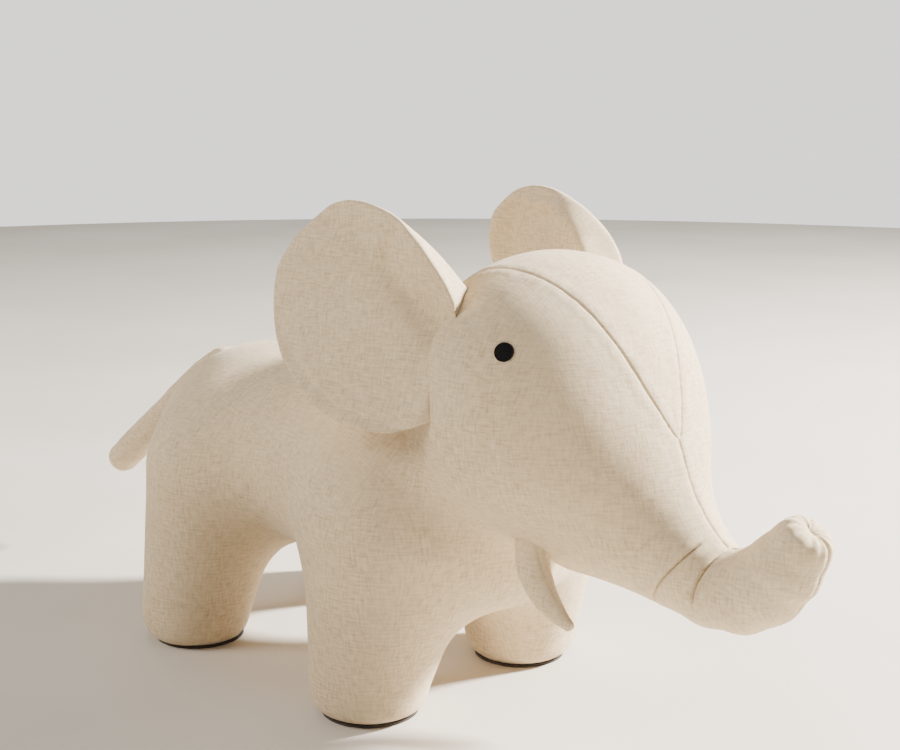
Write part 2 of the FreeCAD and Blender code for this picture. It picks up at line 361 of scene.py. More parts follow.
def tip_height(p):
    """Gathers round the closed end of the trunk."""
    end, along = trunk_end()
    q = p - end
    deep = q @ along
    across = q - deep[:, None] * along
    side = np.array((0, 1.0, 0))
    turn = np.arctan2(across @ side, across @ np.cross(along, side))
    rho = np.linalg.norm(across, axis=1)
    near = np.clip(1 + deep / TIP_REACH, 0, 1) * (p[:, 0] > TIP_BACK_X)
    fold = np.cos(TIP_GATHERS * turn + 2.0 * np.sin(2 * turn)) * np.clip(rho / (6 * MM), 0, 1)
    return near * (TIP_FOLD * fold - TIP_DRAWN_IN * np.exp(-((rho / (4 * MM)) ** 2)))


def relief(p, normals):
    """Height of the cloth above the smooth shape."""
    height = LUMPS * fractal(p, LUMP_PITCH, 2)
    ripple = fractal(p, PUCKER_PITCH, 2, 5.0)
    for seam, sewn, strength in SEAMS:
        distance, _ = seam_distance(p, seam, normals)
        d = np.abs(distance)
        here = strength * np.clip(sewn(p) / SEAM_FADE, 0, 1)
        height -= here * GROOVE * np.exp(-((d / GROOVE_WIDTH) ** 2))
        height += here * SEAM_SWELL * np.exp(-(((d - SEAM_SWELL_PLACE) / SEAM_SWELL_WIDTH) ** 2))
        height += here * PUCKER * ripple * np.exp(-d / PUCKER_REACH)
    return height + tuck_height(p) + tip_height(p)


def refine_near_seams(p, quads, band):
    """The faces with those near a seam divided once more."""
    mesh = bpy.data.meshes.new("cover_work")
    mesh.from_pydata(p.tolist(), [], [list(f) for f in quads])
    normals = unit(gradient(skin_field, p))
    near = np.zeros(len(p), bool)
    for seam, sewn, _ in SEAMS:
        distance, _ = seam_distance(p, seam, normals)
        near |= (np.abs(distance) < band) & (sewn(p) > -SEAM_MARGIN)
    for away, drawn, _ in tuck_lines(p):
        near |= (np.abs(away) < band) & (drawn > 0)
    if band == FINE_BANDS[0]:
        end, along = trunk_end()
        near |= (p - end) @ along > -TIP_REACH
    work = bmesh.new()
    work.from_mesh(mesh)
    work.verts.ensure_lookup_table()
    edges = [e for e in work.edges if near[e.verts[0].index] and near[e.verts[1].index]]
    bmesh.ops.subdivide_edges(work, edges=edges, cuts=1, use_grid_fill=True)
    bmesh.ops.triangulate(work, faces=[f for f in work.faces if len(f.verts) > 4])
    work.to_mesh(mesh)
    work.free()
    points = np.zeros(len(mesh.vertices) * 3)
    mesh.vertices.foreach_get("co", points)
    faces = [tuple(f.vertices) for f in mesh.polygons]
    bpy.data.meshes.remove(mesh)
    return points.reshape(-1, 3), faces


def snap_to_seams(p):
    """Points within half a cell of a seam, moved onto it."""
    for seam, sewn, _ in SEAMS:
        for _ in range(2):
            normals = unit(gradient(skin_field, p))
            distance, away = seam_distance(p, seam, normals)
            take = (np.abs(distance) < 0.5 * FINE_CELL) & (sewn(p) > -1 * MM)
            p = p - np.where(take, distance, 0)[:, None] * away
        p = onto(skin_field, p, 1)
    return p


def mesh_object(name, points, faces, normals=None):
    mesh = bpy.data.meshes.new(name)
    mesh.from_pydata(np.asarray(points).tolist(), [], [tuple(int(i) for i in f) for f in faces])
    mesh.validate()
    mesh.shade_smooth()
    if normals is not None:
        mesh.normals_split_custom_set_from_vertices(np.asarray(normals).tolist())
    obj = bpy.data.objects.new(name, mesh)
    bpy.context.scene.collection.objects.link(obj)
    return obj


def cloth_panel(name, points, normals, faces):
    """One panel of the cover as a closed sheet of cloth: outside, inside and the cut edge."""
    used = np.unique(np.concatenate([np.array(f) for f in faces]))
    place = {old: new for new, old in enumerate(used)}
    outer = [tuple(place[i] for i in f) for f in faces]
    count = len(used)
    inner = [tuple(i + count for i in reversed(f)) for f in outer]
    seen = dict.fromkeys((a, b) for f in outer for a, b in zip(f, f[1:] + f[:1]))
    rim = [(b, a, a + count, b + count) for a, b in seen if (b, a) not in seen]
    top, out = points[used], normals[used]
    both = np.concatenate([top, top - CLOTH * out])
    return mesh_object(name, both, outer + inner + rim, np.concatenate([out, -out]))


def make_cover():
    values = sample_grid(skin_field, GRID_LOW, GRID_HIGH, CELL)
    points, quads = surface_nets(values, GRID_LOW, CELL)
    points = onto(skin_field, points)
    faces = quads.tolist()
    for band in FINE_BANDS:
        points, faces = refine_near_seams(points, faces, band)
        points = onto(skin_field, points, 2)
    points = snap_to_seams(points)
    normals = unit(gradient(skin_field, points))
    points = points + relief(points, normals)[:, None] * normals
    whole = bpy.data.meshes.new("whole")
    whole.from_pydata(points.tolist(), [], faces)
    shaded = np.zeros(len(points) * 3)
    whole.vertex_normals.foreach_get("vector", shaded)
    bpy.data.meshes.remove(whole)
    shaded = shaded.reshape(-1, 3)
    centres = np.array([points[list(f)].mean(0) for f in faces])
    panel = panel_of(centres)
    made = {}
    for i, name in enumerate(PANELS):
        own = [f for f, which in zip(faces, panel) if which == i]
        made[name] = cloth_panel(name, points, shaded, own)
    return made


# Materials -----------------------------------------------------------------------------------------
class Nodes:
    """Short calls for building a node tree."""

    def __init__(self, tree):
        self.tree = tree

    def add(self, kind, inputs=(), **settings):
        node = self.tree.nodes.new(kind)
        for name, value in settings.items():
            setattr(node, name, value)
        for socket, value in dict(inputs).items():
            if isinstance(value, bpy.types.NodeSocket):
                self.tree.links.new(value, node.inputs[socket])
            else:
                node.inputs[socket].default_value = value
        return node

    def math(self, operation, a, b=0.0, clamp=False):
        return self.add("ShaderNodeMath", {0: a, 1: b}, operation=operation, use_clamp=clamp).outputs[0]

    def sum(self, values):
        total = values[0]
        for value in values[1:]:
            total = self.math("ADD", total, value)
        return total

    def noise(self, vector, scale, detail=2.0, roughness=0.5):
        inputs = {"Vector": vector, "Scale": scale, "Detail": detail, "Roughness": roughness}
        return self.add("ShaderNodeTexNoise", inputs).outputs["Fac"]

    def vector(self, operation, a, b):
        return self.add("ShaderNodeVectorMath", {0: a, 1: b}, operation=operation).outputs[0]

    def ramp(self, value, stops):
        node = self.add("ShaderNodeValToRGB", {"Fac": value})
        ramp = node.color_ramp
        while len(ramp.elements) < len(stops):
            ramp.elements.new(0.5)
        for element, (place, colour) in zip(ramp.elements, stops):
            element.position = place
            element.color = (*colour, 1)
        return node.outputs["Color"]


def new_material(name):
    material = bpy.data.materials.new(name)
    material.use_nodes = True
    material.node_tree.nodes.clear()
    return material, Nodes(material.node_tree)


def finish_material(nodes, shader):
    bsdf = nodes.add("ShaderNodeBsdfPrincipled", shader)
    nodes.add("ShaderNodeOutputMaterial", {"Surface": bsdf.outputs[0]})


WEAVE_GRIP = 5.0  # how sharply the weave turns from one plane to the next
THREADS = 1400.0  # fine threads to a metre
SLUBS = 620.0  # thick threads to a metre
SLUB_LENGTHS = 110.0  # thick and thin lengths to a metre along each thread


def woven(nodes, u, v, seed):
    """Height of a plain weave in the plane of u and v, and the tone of its thick and thin threads."""
    place = nodes.add("ShaderNodeCombineXYZ", {0: u, 1: v, 2: seed}).outputs[0]

    def threads(across, along, roughness):
        return nodes.noise(nodes.vector("MULTIPLY", place, (across, along, 1.0)), 1.0, 2.0, roughness)

    fine = [threads(SLUB_LENGTHS, THREADS, 0.6), threads(THREADS, SLUB_LENGTHS, 0.6)]
    slubs = [threads(SLUB_LENGTHS, SLUBS, 0.55), threads(SLUBS, SLUB_LENGTHS, 0.55)]
    return nodes.math("MAXIMUM", *fine), nodes.math("ADD", *slubs)


THREAD_RELIEF = 0.35 * MM
PLANE_SEEDS = (0.0, 3.0, 7.0)
THREAD_TONE = 0.7  # how much the threads, the slubs and the slow changes show in the colour
SLUB_TONE = 1.2
SLOW_TONE = 0.4
COMMON_TONE = 0.55  # place of the common tone in the ramp, and its share of pale
COMMON_PALE = 0.65


def linen(name, pale, dark):
    """Woven linen-look cloth: threads along each face's own plane, slubs, and slow changes of tone."""
    material, nodes = new_material(name)
    at = nodes.add("ShaderNodeTexCoord")
    place = nodes.add("ShaderNodeSeparateXYZ", {0: at.outputs["Object"]})
    facing = nodes.add("ShaderNodeSeparateXYZ", {0: at.outputs["Normal"]})
    x, y, z = place.outputs
    weights = [nodes.math("POWER", nodes.math("ABSOLUTE", side), WEAVE_GRIP) for side in facing.outputs]
    total = nodes.sum(weights)
    heights, tones = [], []
    for weight, (u, v), seed in zip(weights, ((y, z), (x, z), (x, y)), PLANE_SEEDS):
        share = nodes.math("DIVIDE", weight, total)
        height, tone = woven(nodes, u, v, seed)
        heights.append(nodes.math("MULTIPLY", height, share))
        tones.append(nodes.math("MULTIPLY", tone, share))
    height, tone = nodes.sum(heights), nodes.sum(tones)
    slow = nodes.noise(at.outputs["Object"], 22.0, 3.0, 0.6)
    parts = ((height, 0.5, THREAD_TONE), (tone, 1.0, SLUB_TONE), (slow, 0.5, SLOW_TONE))
    tones = [nodes.math("MULTIPLY", nodes.math("SUBTRACT", a, mean), share) for a, mean, share in parts]
    mix = nodes.math("ADD", nodes.sum(tones), 0.5, clamp=True)
    common = tuple((1 - COMMON_PALE) * d + COMMON_PALE * p for d, p in zip(dark, pale))
    colour = nodes.ramp(mix, ((0.0, dark), (COMMON_TONE, common), (1.0, pale)))
    bump = nodes.add("ShaderNodeBump", {"Strength": 0.6, "Distance": THREAD_RELIEF, "Height": height})
    rough = nodes.math("ADD", nodes.math("MULTIPLY", height, 0.12), 0.78)
    shader = {"Base Color": colour, "Roughness": rough, "Normal": bump.outputs[0]}
    shader |= {"Sheen Weight": 0.12, "Sheen Roughness": 0.45, "Specular IOR Level": 0.25}
    finish_material(nodes, shader)
    return material


def felt(name, pale, dark, scale=700.0):
    material, nodes = new_material(name)
    at = nodes.add("ShaderNodeTexCoord").outputs["Object"]
    fuzz = nodes.noise(at, scale, 5.0, 0.7)
    patch = nodes.noise(at, 60.0, 2.0)
    shares = [nodes.math("MULTIPLY", fuzz, 0.7), nodes.math("MULTIPLY", patch, 0.3)]
    mix = nodes.math("ADD", *shares, clamp=True)
    bump = nodes.add("ShaderNodeBump", {"Strength": 0.7, "Distance": 0.4 * MM, "Height": fuzz})
    colour = nodes.ramp(mix, ((0.3, dark), (0.7, pale)))
    finish_material(nodes, {"Base Color": colour, "Roughness": 0.95, "Normal": bump.outputs[0]})
    return material


def thread_black(name):
    material, nodes = new_material(name)
    at = nodes.add("ShaderNodeTexCoord").outputs["Object"]
    strand = nodes.noise(nodes.vector("MULTIPLY", at, (2600.0, 2600.0, 420.0)), 1.0, 3.0, 0.6)
    colour = nodes.ramp(strand, ((0.35, (0.003, 0.003, 0.003)), (0.75, (0.014, 0.013, 0.013))))
    bump = nodes.add("ShaderNodeBump", {"Strength": 0.5, "Distance": 0.1 * MM, "Height": strand})
    shader = {"Base Color": colour, "Roughness": 0.9, "Specular IOR Level": 0.12}
    finish_material(nodes, shader | {"Normal": bump.outputs[0]})
    return material


def brushed_steel(name):
    material, nodes = new_material(name)
    at = nodes.add("ShaderNodeTexCoord").outputs["Object"]
    streak = nodes.noise(nodes.vector("MULTIPLY", at, (400.0, 4000.0, 4000.0)), 1.0, 3.0)
    colour = nodes.ramp(streak, ((0.3, (0.42, 0.42, 0.43)), (0.7, (0.62, 0.62, 0.63))))
    rough = nodes.math("ADD", nodes.math("MULTIPLY", streak, 0.2), 0.25)
    finish_material(nodes, {"Base Color": colour, "Roughness": rough, "Metallic": 1.0})
    return material


LINEN_PALE = (0.74, 0.595, 0.385)
LINEN_DARK = (0.42, 0.31, 0.19)
materials = {
    "linen": linen("linen", LINEN_PALE, LINEN_DARK),
    "sole": felt("dark_felt", (0.075, 0.058, 0.045), (0.022, 0.017, 0.014)),
    "board": felt("pressed_board", (0.60, 0.55, 0.45), (0.48, 0.43, 0.34), 300.0),
    "eye_thread": thread_black("black_thread"),
    "steel": brushed_steel("plain_rod"),
    "filling": felt("fibre", (0.86, 0.86, 0.84), (0.72, 0.72, 0.70), 250.0),
}


def dress(obj, slot):
    """Gives a piece, as its only material, the one kept under the slot's name."""
    obj.data.materials.clear()
    obj.data.materials.append(materials[slot])


# Ears ----------------------------------------------------------------------------------------------
# Flat coordinates of the right ear: away from the root, up along the root, and outward from its face.
EAR_ROOT_LOW = np.array((0.1675, -0.1090, 0.2375))
EAR_UP = unit(np.array((0.0, 0.31, 0.95)))
EAR_OUT = np.array((-0.97, -0.24, 0.0))
EAR_OUT = unit(EAR_OUT - (EAR_OUT @ EAR_UP) * EAR_UP)
EAR_FACE = np.cross(EAR_UP, EAR_OUT)
EAR_GRID = 38
# Millimetres. The rim runs from the notch at the top of the root, over the top, to the root's bottom.
EAR_NOTCH = (-4, 68, 0)
EAR_RIDGE_END = (80, 137, 6)
EAR_BOTTOM = (0, -2, 0)
EAR_RIM = (
    EAR_NOTCH, (-1, 82, 6), (6, 94, 11), (19, 108, 13), (35, 120, 12), (55, 131, 9),
    EAR_RIDGE_END, (100, 136, 3), (117, 132, 0), (131, 123, -2), (149, 108, -4), (159, 91, -5),
    (162, 77, -6), (158, 55, -7), (148, 36, -7), (136, 19, -6), (121, 6, -5), (104, -6, -4),
    (82, -14, -3), (59, -18, -2), (35, -15, -1), (16, -9, 0), EAR_BOTTOM,
)
EAR_FRONT_BASE = (EAR_BOTTOM, (-1, 22, 0), (-2, 45, 0), EAR_NOTCH)
EAR_CORNER = (0, 96, -19)
EAR_BACK_BASE = (EAR_BOTTOM, (6, 36, -9), (8, 70, -14), EAR_CORNER, (-2, 82, -8), EAR_NOTCH)
EAR_RIDGE_BULGE = 7 * MM
SWEEPS = 4000
EASING = 7  # last sweeps of the film, which also ease the held points
EAR_EDGE_CURVE = 0.38
EAR_DEEP = 5 * MM
EAR_BACK_DEEP = 8 * MM
EAR_DISH = 21 * MM
EAR_BACK_DISH = 0.55  # the share of the hollow that shows on the back
EAR_DISH_FROM = np.array((4.0, 71.0))  # the hollow of the face runs from here to here
EAR_DISH_TO = np.array((56.0, 102.0))
EAR_DISH_SIZE = 16
EAR_SEWN_REACH = 7 * MM
EAR_SUNK = 1.5 * MM
EAR_PRESSURE = 3.0
EAR_FRAMES = 16
EAR_MOST = 6 * MM  # the furthest that the air may move the cloth
EAR_WRINKLE = 0.5 * MM
EAR_WRINKLE_PITCH = 0.018
CURVE_STEPS = 24


def curve_through(points, count):
    """Evenly spaced points on a smooth curve through the given ones."""
    points = np.array(points, float)
    dense = []
    padded = np.concatenate([2 * points[:1] - points[1:2], points, 2 * points[-1:] - points[-2:-1]])
    for a, b, c, d in zip(padded, padded[1:], padded[2:], padded[3:]):
        for t in np.linspace(0, 1, CURVE_STEPS, endpoint=False):
            bend = 2 * b + (c - a) * t + (2 * a - 5 * b + 4 * c - d) * t**2
            dense.append((bend + (3 * b - a - 3 * c + d) * t**3) / 2)
    dense.append(points[-1])
    dense = np.array(dense)
    length = np.concatenate([[0], np.cumsum(np.linalg.norm(np.diff(dense, axis=0), axis=1))])
    at = np.linspace(0, length[-1], count)
    return np.stack([np.interp(at, length, dense[:, i]) for i in range(3)], 1)


def square_ring(size):
    """The border cells of a square grid, in order round it."""
    last = size - 1
    ring = [(i, 0) for i in range(last)] + [(last, j) for j in range(last)]
    ring += [(last - i, last) for i in range(last)] + [(0, last - j) for j in range(last)]
    return ring


def stretch_inside(border, size, ring, held=()):
    """A grid whose inside is an even film across its border and the held (cell, point) pairs."""
    grid = np.zeros((size, size, 3))
    grid[:] = border.mean(0)
    free = np.zeros((size, size, 1), bool)
    free[1:-1, 1:-1] = True
    for (i, j), p in list(zip(ring, border)) + list(held):
        grid[i, j] = p
        free[i, j] = False
    for sweep in range(SWEEPS):
        middle = (grid[:-2, 1:-1] + grid[2:, 1:-1] + grid[1:-1, :-2] + grid[1:-1, 2:]) / 4
        eased = free[1:-1, 1:-1] | (sweep >= SWEEPS - EASING)
        grid[1:-1, 1:-1] = np.where(eased, middle, grid[1:-1, 1:-1])
    return grid


def ear_ridge(border, ring):
    """The fold along the top of the ear's back, from its corner on the head to the top of the rim."""
    corner = int(np.argmin(np.linalg.norm(border - np.array(EAR_CORNER) * MM, axis=1)))
    top = int(np.argmin(np.linalg.norm(border - np.array(EAR_RIDGE_END) * MM, axis=1)))
    (_, first_j), (last_i, _) = ring[corner], ring[top]
    held = []
    for i in range(1, last_i):
        t = i / last_i
        bulge = EAR_RIDGE_BULGE * 4 * t * (1 - t) * np.array((0, 1.0, 0))
        cell = (i, max(1, round(first_j * (1 - t))))
        held.append((cell, border[corner] * (1 - t) + border[top] * t + bulge))
    return held


def ear_sheets():
    """Front and back panels as grids in flat coordinates, joined round the rim and open at the root."""
    ring = square_ring(EAR_GRID)
    base_count = len(ring) // 5
    rim = curve_through(EAR_RIM, len(ring) - base_count + 1)
    sheets = []
    for base in (EAR_FRONT_BASE, EAR_BACK_BASE):
        across = curve_through(base, base_count + 1)
        border = np.concatenate([rim, across[1:-1]]) * MM
        held = ear_ridge(border, ring) if base is EAR_BACK_BASE else ()
        sheets.append(stretch_inside(border, EAR_GRID, ring, held))
    return ring, len(rim), sheets


def edge_fade(size):
    """0 at the border of a grid, rising to 1 in its middle like the side of a cushion."""
    t = np.linspace(-1, 1, size)
    u, v = np.meshgrid(t, t, indexing="ij")
    return (np.clip(1 - u**2, 0, 1) * np.clip(1 - v**2, 0, 1)) ** EAR_EDGE_CURVE


def hollow(grid):
    """How deep the face of the ear is drawn in at each point, from 0 to 1."""
    q = grid[..., :2] / MM - EAR_DISH_FROM
    run = EAR_DISH_TO - EAR_DISH_FROM
    t = np.clip((q @ run) / (run @ run), 0, 1)
    away = np.linalg.norm(q - t[..., None] * run, axis=-1)
    return np.exp(-((away / EAR_DISH_SIZE) ** 2)) * (1 - 0.5 * t)


def ear_mesh():
    """The right ear as one closed pillow, in flat coordinates, and its points sewn to the head."""
    ring, rim_count, (front, back) = ear_sheets()
    fade = edge_fade(EAR_GRID)
    front[..., 2] += EAR_DEEP * fade
    front[..., 2] -= EAR_DISH * hollow(front) * fade
    back[..., 2] -= (EAR_BACK_DEEP + EAR_BACK_DISH * EAR_DISH * hollow(back)) * fade
    count = EAR_GRID**2
    number = np.arange(count).reshape(EAR_GRID, EAR_GRID)
    other = number + count
    for i, j in ring[:rim_count]:
        other[i, j] = number[i, j]
    points = np.concatenate([front.reshape(-1, 3), back.reshape(-1, 3)])
    faces = []
    for grid, flip in ((number, False), (other, True)):
        corners = [grid[:-1, :-1], grid[1:, :-1], grid[1:, 1:], grid[:-1, 1:]]
        quads = np.stack(corners, -1).reshape(-1, 4)
        faces += [tuple(q[::-1]) if flip else tuple(q) for q in quads]
    base = [ring[rim_count - 1]] + ring[rim_count:] + [ring[0]]
    for a, b in zip(base, base[1:]):
        corners = [number[a], number[b], other[b], other[a]]
        face = tuple(dict.fromkeys(int(c) for c in reversed(corners)))
        if len(face) > 2:
            faces.append(face)
    sewn = {int(g[c]) for g in (number, other) for c in base}
    used = sorted({int(i) for f in faces for i in f})
    place = {old: new for new, old in enumerate(used)}
    faces = [tuple(place[int(i)] for i in f) for f in faces]
    return points[used], faces, [place[i] for i in sewn if i in place]


def puff(obj, held, pressure, frames, most):
    """Fills a closed piece with air in a cloth simulation, held points fixed, and keeps the result."""
    before = get_points(obj)
    group = obj.vertex_groups.new(name="held")
    group.add(held, 1.0, "REPLACE")
    cloth = obj.modifiers.new("cloth", "CLOTH")
    settings = cloth.settings
    settings.quality = 6
    settings.mass = 0.25
    settings.tension_stiffness = 25
    settings.compression_stiffness = 25
    settings.shear_stiffness = 8
    settings.bending_stiffness = 0.35
    settings.use_pressure = True
    settings.uniform_pressure_force = pressure
    settings.vertex_group_mass = "held"
    settings.effector_weights.gravity = 0
    cloth.point_cache.frame_start = 1
    cloth.point_cache.frame_end = frames
    scene = bpy.context.scene
    for number in range(1, frames + 1):
        scene.frame_set(number)
    shaped = obj.evaluated_get(bpy.context.evaluated_depsgraph_get()).to_mesh()
    after = np.array([v.co for v in shaped.vertices])
    obj.modifiers.clear()
    obj.vertex_groups.clear()
    scene.frame_set(1)
    move = after - before
    size = np.linalg.norm(move, axis=1, keepdims=True)
    move *= np.minimum(1, most / np.maximum(size, 1e-9))
    set_points(obj, before + move)


def smooth_once(obj):
    """One subdivision, applied."""
    modifier = obj.modifiers.new("subdivision", "SUBSURF")
    modifier.levels = modifier.render_levels = 1
    shaped = bpy.data.meshes.new_from_object(obj.evaluated_get(bpy.context.evaluated_depsgraph_get()))
    obj.modifiers.clear()
    old, obj.data = obj.data, shaped
    bpy.data.meshes.remove(old)
    obj.data.shade_smooth()


def set_points(obj, points):
    obj.data.vertices.foreach_set("co", np.ascontiguousarray(points, float).ravel())
    obj.data.update()


def get_points(obj):
    points = np.zeros(len(obj.data.vertices) * 3)
    obj.data.vertices.foreach_get("co", points)
    return points.reshape(-1, 3)


def mirror_copy(obj, name):
    """The same piece on the elephant's left."""
    mesh = obj.data.copy()
    mesh.name = name
    mesh.transform(Matrix.Scale(-1, 4, (0, 1, 0)))
    mesh.flip_normals()
    copy = bpy.data.objects.new(name, mesh)
    bpy.context.scene.collection.objects.link(copy)
    return copy


def make_ear():
    points, faces, sewn = ear_mesh()
    ear = mesh_object("ear_right", points, faces)
    puff(ear, sewn, EAR_PRESSURE, EAR_FRAMES, EAR_MOST)
    smooth_once(ear)
    flat = get_points(ear)
    flat[:, 2] += EAR_WRINKLE * fractal(flat, EAR_WRINKLE_PITCH, 3, 2.0)
    placed = EAR_ROOT_LOW + flat[:, :1] * EAR_OUT + flat[:, 1:2] * EAR_UP + flat[:, 2:] * EAR_FACE
    base = np.concatenate([curve_through(EAR_FRONT_BASE, 50), curve_through(EAR_BACK_BASE, 80)]) * MM
    away = np.linalg.norm(flat[:, None, :] - base[None, :, :], axis=2).min(1)
    pull = np.clip(1 - away / EAR_SEWN_REACH, 0, 1) ** 2
    sunk = skin_field(placed) + EAR_SUNK
    placed = placed - (pull * sunk)[:, None] * unit(gradient(skin_field, placed))
    set_points(ear, placed)
    return ear


# Tusks, tail, eyes ----------------------------------------------------------------------------------
TUSK = (
    ((0.2120, -0.0520, 0.1560), 0.0150), ((0.2200, -0.0610, 0.1420), 0.0135),
    ((0.2330, -0.0670, 0.1290), 0.0110), ((0.2480, -0.0700, 0.1190), 0.0075),
    ((0.2600, -0.0705, 0.1130), 0.0035),
)
TUSK_FLAT = 0.82
TUSK_SECTIONS = 34
TUSK_CAP = 0.0035
TUSK_WIDE = np.array((0.6, 0.0, 0.8))
TAIL = (
    ((-0.1960, 0.2190), 0.0105, 0.0030), ((-0.2050, 0.2200), 0.0105, 0.0040),
    ((-0.2180, 0.2140), 0.0090, 0.0065), ((-0.2400, 0.1990), 0.0105, 0.0095),
    ((-0.2800, 0.1680), 0.0125, 0.0120), ((-0.3200, 0.1370), 0.0140, 0.0138),
    ((-0.3600, 0.1070), 0.0150, 0.0148), ((-0.3830, 0.0905), 0.0148, 0.0146),
)
TAIL_SECTIONS = 90
TAIL_SPLIT_X = -0.219  # where the flat root ends and the tube starts
TAIL_WIDE = np.array((0, 1.0, 0))
ROUND = 40
RUN_STEPS = 200
TUBE_GROOVE = 0.7 * MM
TUBE_GROOVE_WIDTH = 1.1 * MM
TUSK_LUMPS = 0.5 * MM
TAIL_LUMPS = 0.6 * MM


def swept(centres, across, tall, side):
    """A closed tube of elliptical sections along centres; side is the direction of its width."""
    runs = unit(np.gradient(centres, axis=0))
    turn = np.linspace(0, 2 * math.pi, ROUND, endpoint=False)
    points = []
    for c, run, a, t in zip(centres, runs, across, tall):
        wide = unit(side - (side @ run) * run)
        up = np.cross(run, wide)
        points.append(c + np.outer(np.cos(turn), a * wide) + np.outer(np.sin(turn), t * up))
    points = np.concatenate(points)
    faces = []
    for i in range(0, len(points) - ROUND, ROUND):
        for j in range(ROUND):
            k = (j + 1) % ROUND
            faces.append((i + j, i + k, i + ROUND + k, i + ROUND + j))
    faces.append(tuple(range(ROUND))[::-1])
    faces.append(tuple(range(len(points) - ROUND, len(points))))
    return points, faces


def rounded_run(stations, count, end_cap):
    """Even stations (centre, width, height) along a smooth curve, closing to a round end."""
    points, *sizes = [np.array(column) for column in zip(*stations)]
    length = np.concatenate([[0], np.cumsum(np.linalg.norm(np.diff(points, axis=0), axis=1))])
    dense = np.linspace(0, length[-1], RUN_STEPS)
    at = np.linspace(0, length[-1], count)
    even = [np.interp(at, dense, np.interp(dense, length, size)) for size in sizes]
    across, tall = [np.convolve(np.pad(e, 2, mode="edge"), np.ones(5) / 5, "valid") for e in even]
    centres = curve_through(points, count)
    along = unit(centres[-1] - centres[-2])
    turns = np.linspace(0, math.pi / 2, 9)[1:-1]
    cap = [centres[-1] + along * end_cap * math.sin(t) for t in turns]
    centres = np.concatenate([centres, cap])
    across = np.concatenate([across, [across[-1] * math.cos(t) for t in turns]])
    tall = np.concatenate([tall, [tall[-1] * math.cos(t) for t in turns]])
    return centres, across, tall


def add_relief(obj, height):
    """Moves each point along its own normal by height(points)."""
    points = get_points(obj)
    normals = np.zeros(len(points) * 3)
    obj.data.vertex_normals.foreach_get("vector", normals)
    set_points(obj, points + height(points)[:, None] * normals.reshape(-1, 3))


def tube_groove(distance):
    return TUBE_GROOVE * np.exp(-((distance / TUBE_GROOVE_WIDTH) ** 2))


def make_tusk():
    """A flattened horn with a seam along its middle."""
    stations = [(c, r, r * TUSK_FLAT) for c, r in TUSK]
    tusk = mesh_object("tusk_right", *swept(*rounded_run(stations, TUSK_SECTIONS, TUSK_CAP), TUSK_WIDE))
    middle_x, middle_y, _ = zip(*[c for c, _ in TUSK])

    def height(p):
        seam = p[:, 1] - np.interp(p[:, 0], middle_x, middle_y)
        return TUSK_LUMPS * fractal(p, 0.016, 2) - tube_groove(seam)

    smooth_once(tusk)
    add_relief(tusk, height)
    return tusk


def make_tail():
    """The tail's flat sewn root and its stuffed tube."""
    stations = [((x, 0, z), a, b) for (x, z), a, b in TAIL]
    run = rounded_run(stations, TAIL_SECTIONS, TAIL[-1][2])
    split = int(np.argmin(np.abs(run[0][:, 0] - TAIL_SPLIT_X)))
    pieces = []
    for name, part in (("tail_root", slice(0, split + 1)), ("tail_tube", slice(split, None))):
        piece = mesh_object(name, *swept(*[row[part] for row in run], TAIL_WIDE))
        smooth_once(piece)
        add_relief(piece, lambda p: TAIL_LUMPS * fractal(p, 0.02, 2, 3.0) - tube_groove(p[:, 1]))
        pieces.append(piece)
    return pieces


EYE = np.array((0.2165, -0.0871, 0.2885))
EYE_RADIUS = 6.8 * MM
EYE_HIGH = 1.2 * MM
EYE_LIFT = 0.1 * MM
EYE_DEPTH = 1.5 * MM
EYE_RINGS = 26
EYE_AROUND = 96
EYE_ROWS = 16  # rows of satin stitch, and their height
EYE_ROW_HIGH = 0.16 * MM
EYE_STITCHED_TO = 0.86  # shares of the radius: the end of the rows, the ring of thread, the edge
EYE_RING_AT = 0.9
EYE_RING_WIDTH = 0.06
EYE_EDGE = 0.93
EYE_RING_HIGH = 1.0 * MM
EYE_EDGE_DROP = 0.8 * MM
EYE_RING_TWISTS = 36


